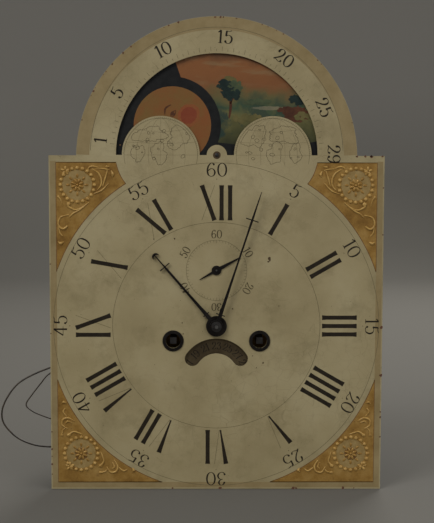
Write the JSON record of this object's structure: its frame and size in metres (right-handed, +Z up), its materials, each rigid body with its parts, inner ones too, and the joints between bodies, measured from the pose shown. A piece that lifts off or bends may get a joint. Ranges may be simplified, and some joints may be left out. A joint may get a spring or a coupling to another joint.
{
  "type": "tall case clock dial and movement",
  "caption": "Arched painted moon-phase clock dial with blued hands on a weight-driven striking movement with bell, wheels, rack work and gut lines on its seatboard.",
  "frame": {"origin": "middle of the seatboard's underside, where it rests on the sides of a clock case", "axes": "+Z up along the dial's height, the dial faces -Y, +X is the viewer's right"},
  "size_m": [0.3857, 0.1379, 0.4685],
  "materials": {
    "dial_paint": "aged cream enamel paint",
    "moon_paint": "dark painted sheet iron",
    "blued_steel": "dark blued steel",
    "steel": "worn polished steel",
    "date_steel": "dull grey-brown",
    "oak": "old waxed softwood board",
    "gut": "dry twisted gut",
    "bell_metal": "cast bell metal, dull",
    "brass": "old lacquered brass"
  },
  "bodies": {
    "frame": {"dial_plate": "dial_paint", "dial_feet": "steel", "winding_grommets": "blued_steel", "dial_studs": "brass", "jumper_springs": "blued_steel", "front_plate": "brass", "back_plate": "brass", "plate_pillars": "brass", "taper_pins": "steel", "seatboard": "oak", "steel_screws": "blued_steel", "back_cock": "brass", "bell": "bell_metal", "bell_stand": "steel", "hammer_spring": "blued_steel", "hour_bridge": "brass", "front_posts": "steel", "rack_spring": "brass", "going_gut": "gut", "strike_gut": "gut", "going_line_loop": "gut", "strike_line_loop": "gut", "strike_line_tail": "gut", "line_knots": "gut"},
    "centre": {"centre_arbor": "steel", "centre_wheel": "brass", "cannon_pinion": "brass", "minute_hand": "blued_steel", "hand_collet": "steel"},
    "going_great": {"going_great_wheel": "brass"},
    "going_barrel": {"going_barrel": "brass"},
    "going_click": {"going_click": "steel"},
    "third": {"third_arbor": "steel", "third_wheel": "brass"},
    "escape": {"escape_arbor": "steel", "escape_wheel": "brass", "seconds_hand": "blued_steel"},
    "pallets": {"anchor": "steel", "crutch": "steel"},
    "minute": {"minute_wheel": "brass"},
    "hour": {"hour_wheel": "brass", "hour_hand": "blued_steel"},
    "day": {"day_wheel": "brass"},
    "date": {"date_disc": "date_steel"},
    "moon": {"moon_disc": "moon_paint"},
    "moon_lever": {"moon_lever": "brass"},
    "gathering": {"gathering_arbor": "steel", "gathering_wheel": "brass"},
    "pin": {"pin_arbor": "steel", "pin_wheel": "brass"},
    "strike_great": {"strike_great_wheel": "brass"},
    "strike_barrel": {"strike_barrel": "brass"},
    "strike_click": {"strike_click": "steel"},
    "warning": {"warning_arbor": "steel", "warning_wheel": "brass"},
    "fly": {"fly": "brass"},
    "hammer": {"hammer": "steel"},
    "rack": {"rack": "steel"},
    "rack_hook": {"rack_hook": "steel"},
    "lifting_piece": {"lifting_piece": "steel"}
  },
  "joints": [
    {"name": "centre_turn", "type": "hinge", "parent": "frame", "child": "centre", "pos_m": [0, 0, 0.093], "axis": [0, 1, 0], "continuous": true},
    {"name": "going_great_turn", "type": "hinge", "parent": "frame", "child": "going_great", "pos_m": [0.043, 0, 0.078], "axis": [0, 1, 0], "continuous": true},
    {"name": "third_turn", "type": "hinge", "parent": "frame", "child": "third", "pos_m": [0.00683, 0, 0.12182], "axis": [0, 1, 0], "continuous": true},
    {"name": "escape_turn", "type": "hinge", "parent": "frame", "child": "escape", "pos_m": [0, 0, 0.1484], "axis": [0, 1, 0], "continuous": true},
    {"name": "minute_turn", "type": "hinge", "parent": "frame", "child": "minute", "pos_m": [0.0135, 0, 0.11638], "axis": [0, 1, 0], "continuous": true},
    {"name": "hour_turn", "type": "hinge", "parent": "frame", "child": "hour", "pos_m": [0, 0, 0.093], "axis": [0, 1, 0], "continuous": true},
    {"name": "day_turn", "type": "hinge", "parent": "frame", "child": "day", "pos_m": [-0.0224, 0, 0.09093], "axis": [0, 1, 0], "continuous": true},
    {"name": "gathering_turn", "type": "hinge", "parent": "frame", "child": "gathering", "pos_m": [-0.04024, 0, 0.1415], "axis": [0, 1, 0], "continuous": true},
    {"name": "pin_turn", "type": "hinge", "parent": "frame", "child": "pin", "pos_m": [-0.03357, 0, 0.1202], "axis": [0, 1, 0], "continuous": true},
    {"name": "strike_great_turn", "type": "hinge", "parent": "frame", "child": "strike_great", "pos_m": [-0.043, 0, 0.078], "axis": [0, 1, 0], "continuous": true},
    {"name": "warning_turn", "type": "hinge", "parent": "frame", "child": "warning", "pos_m": [-0.02427, 0, 0.1516], "axis": [0, 1, 0], "continuous": true},
    {"name": "fly_turn", "type": "hinge", "parent": "frame", "child": "fly", "pos_m": [-0.03627, 0, 0.16248], "axis": [0, 1, 0], "continuous": true},
    {"name": "going_winding", "type": "hinge", "parent": "going_great", "child": "going_barrel", "pos_m": [0.043, 0, 0.078], "axis": [0, 1, 0], "continuous": true},
    {"name": "strike_winding", "type": "hinge", "parent": "strike_great", "child": "strike_barrel", "pos_m": [-0.043, 0, 0.078], "axis": [0, 1, 0], "continuous": true},
    {"name": "going_click_lift", "type": "hinge", "parent": "going_great", "child": "going_click", "pos_m": [0.06536, 0, 0.06115], "axis": [0, -1, 0], "range_deg": [0, 8], "stiffness_Nm_per_rad": 0.02, "springref_deg": -17.19},
    {"name": "strike_click_lift", "type": "hinge", "parent": "strike_great", "child": "strike_click", "pos_m": [-0.06536, 0, 0.09485], "axis": [0, -1, 0], "range_deg": [0, 8], "stiffness_Nm_per_rad": 0.02, "springref_deg": -17.19},
    {"name": "pallet_swing", "type": "hinge", "parent": "frame", "child": "pallets", "pos_m": [0, 0, 0.1724], "axis": [0, 1, 0], "range_deg": [-2.5, 2.5]},
    {"name": "date_turn", "type": "hinge", "parent": "frame", "child": "date", "pos_m": [0, 0, 0.044], "axis": [0, 1, 0], "continuous": true},
    {"name": "moon_turn", "type": "hinge", "parent": "frame", "child": "moon", "pos_m": [0, 0, 0.262], "axis": [0, 1, 0], "continuous": true},
    {"name": "moon_lever_swing", "type": "hinge", "parent": "frame", "child": "moon_lever", "pos_m": [0.046, 0, 0.135], "axis": [0, 1, 0], "range_deg": [0, 2]},
    {"name": "hammer_swing", "type": "hinge", "parent": "frame", "child": "hammer", "pos_m": [-0.06657, 0, 0.1252], "axis": [0, -1, 0], "range_deg": [0, 10], "stiffness_Nm_per_rad": 0.06, "springref_deg": -17.19},
    {"name": "rack_fall", "type": "hinge", "parent": "frame", "child": "rack", "pos_m": [-0.06, 0, 0.06], "axis": [0, -1, 0], "range_deg": [0, 14.4]},
    {"name": "rack_hook_lift", "type": "hinge", "parent": "frame", "child": "rack_hook", "pos_m": [-0.06624, 0, 0.1495], "axis": [0, -1, 0], "range_deg": [0, 6.5]},
    {"name": "lifting_piece_lift", "type": "hinge", "parent": "frame", "child": "lifting_piece", "pos_m": [0.046, 0, 0.127], "axis": [0, 1, 0], "range_deg": [0, 3]}
  ],
  "couplings": [
    {"joint": "going_great_turn", "follows": "centre_turn", "ratio": -0.083333},
    {"joint": "third_turn", "follows": "centre_turn", "ratio": -7.5},
    {"joint": "escape_turn", "follows": "centre_turn", "ratio": 60},
    {"joint": "minute_turn", "follows": "centre_turn", "ratio": -1},
    {"joint": "hour_turn", "follows": "centre_turn", "ratio": 0.083333},
    {"joint": "day_turn", "follows": "centre_turn", "ratio": -0.041667},
    {"joint": "pin_turn", "follows": "gathering_turn", "ratio": -0.125},
    {"joint": "strike_great_turn", "follows": "gathering_turn", "ratio": 0.011905},
    {"joint": "warning_turn", "follows": "gathering_turn", "ratio": -8},
    {"joint": "fly_turn", "follows": "gathering_turn", "ratio": 64},
    {"joint": "rack_hook_lift", "follows": "lifting_piece_lift", "ratio": 2}
  ]
}
